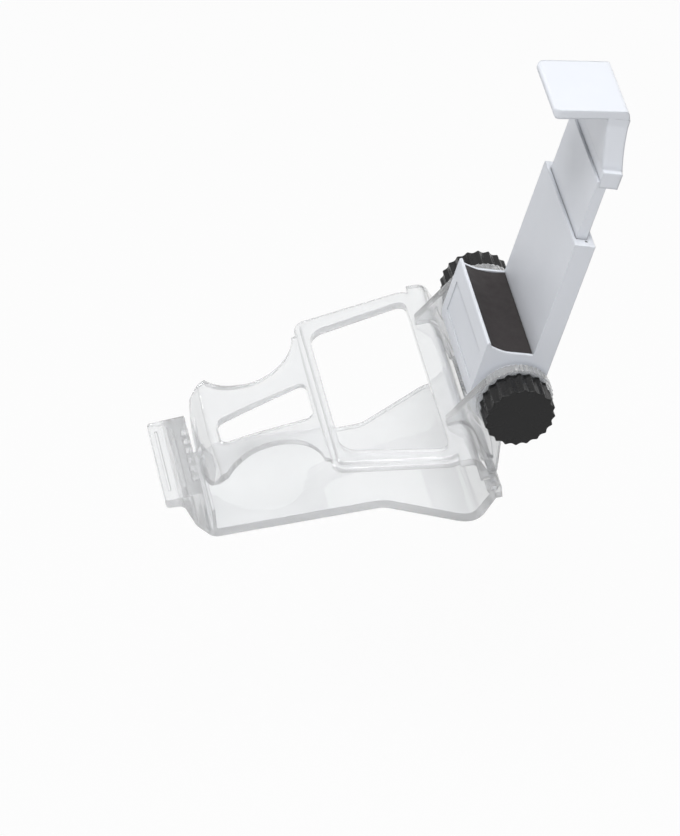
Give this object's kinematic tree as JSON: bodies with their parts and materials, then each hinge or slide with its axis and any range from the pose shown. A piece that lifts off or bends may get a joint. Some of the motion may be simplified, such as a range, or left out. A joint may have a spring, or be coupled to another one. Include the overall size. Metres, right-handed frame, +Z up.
{
  "type": "controller phone holder",
  "caption": "Clear clip-on holder for a game controller, hinged behind, carrying a knob-tilted white clamp that grips a phone between a padded base and a sliding hooked jaw.",
  "frame": {"origin": "middle of the window frame's rear bar, on the underside that rests on the controller", "axes": "+X to the player's right, +Y away from the player, +Z up off the touch panel"},
  "size_m": [0.0792, 0.1413, 0.1307],
  "materials": {
    "clear_plastic": "clear, polished",
    "white_plastic": "fine satin",
    "black_plastic": "satin",
    "dark_rubber": "matte",
    "steel": "plain",
    "brass": "plain"
  },
  "bodies": {
    "clip_top": {"top_clip": "clear_plastic", "hinge_pin_left": "steel", "hinge_pin_right": "steel"},
    "clip_bottom": {"lower_clip": "clear_plastic"},
    "clamp": {"clamp_shell": "white_plastic", "back_cover": "white_plastic", "cover_screws": "steel", "base_pad": "dark_rubber", "thread_insert_left": "brass", "thread_insert_right": "brass"},
    "jaw_slide": {"slide": "white_plastic", "leaf_spring_left": "steel", "leaf_spring_right": "steel", "jaw": "white_plastic", "jaw_pad": "dark_rubber", "jaw_screws": "steel"},
    "knob_left": {"tilt_knob_left": "black_plastic", "knob_stud_left": "steel"},
    "knob_right": {"tilt_knob_right": "black_plastic", "knob_stud_right": "steel"}
  },
  "joints": [
    {"name": "clip_hinge", "type": "hinge", "parent": "clip_top", "child": "clip_bottom", "pos_m": [0, 0.0108, -0.02], "axis": [1, 0, 0], "range_deg": [0, 75]},
    {"name": "clamp_tilt", "type": "hinge", "parent": "clip_top", "child": "clamp", "pos_m": [0, 0.019, 0.0077], "axis": [1, 0, 0], "range_deg": [-55, 65]},
    {"name": "jaw_travel", "type": "slide", "parent": "clamp", "child": "jaw_slide", "axis": [0, 0.3322, 0.9432], "range_m": [-0.0175, 0.009]},
    {"name": "knob_left_turn", "type": "hinge", "parent": "clamp", "child": "knob_left", "pos_m": [-0.028, 0.019, 0.0077], "axis": [1, 0, 0], "continuous": true},
    {"name": "knob_right_turn", "type": "hinge", "parent": "clamp", "child": "knob_right", "pos_m": [0.028, 0.019, 0.0077], "axis": [1, 0, 0], "continuous": true}
  ]
}
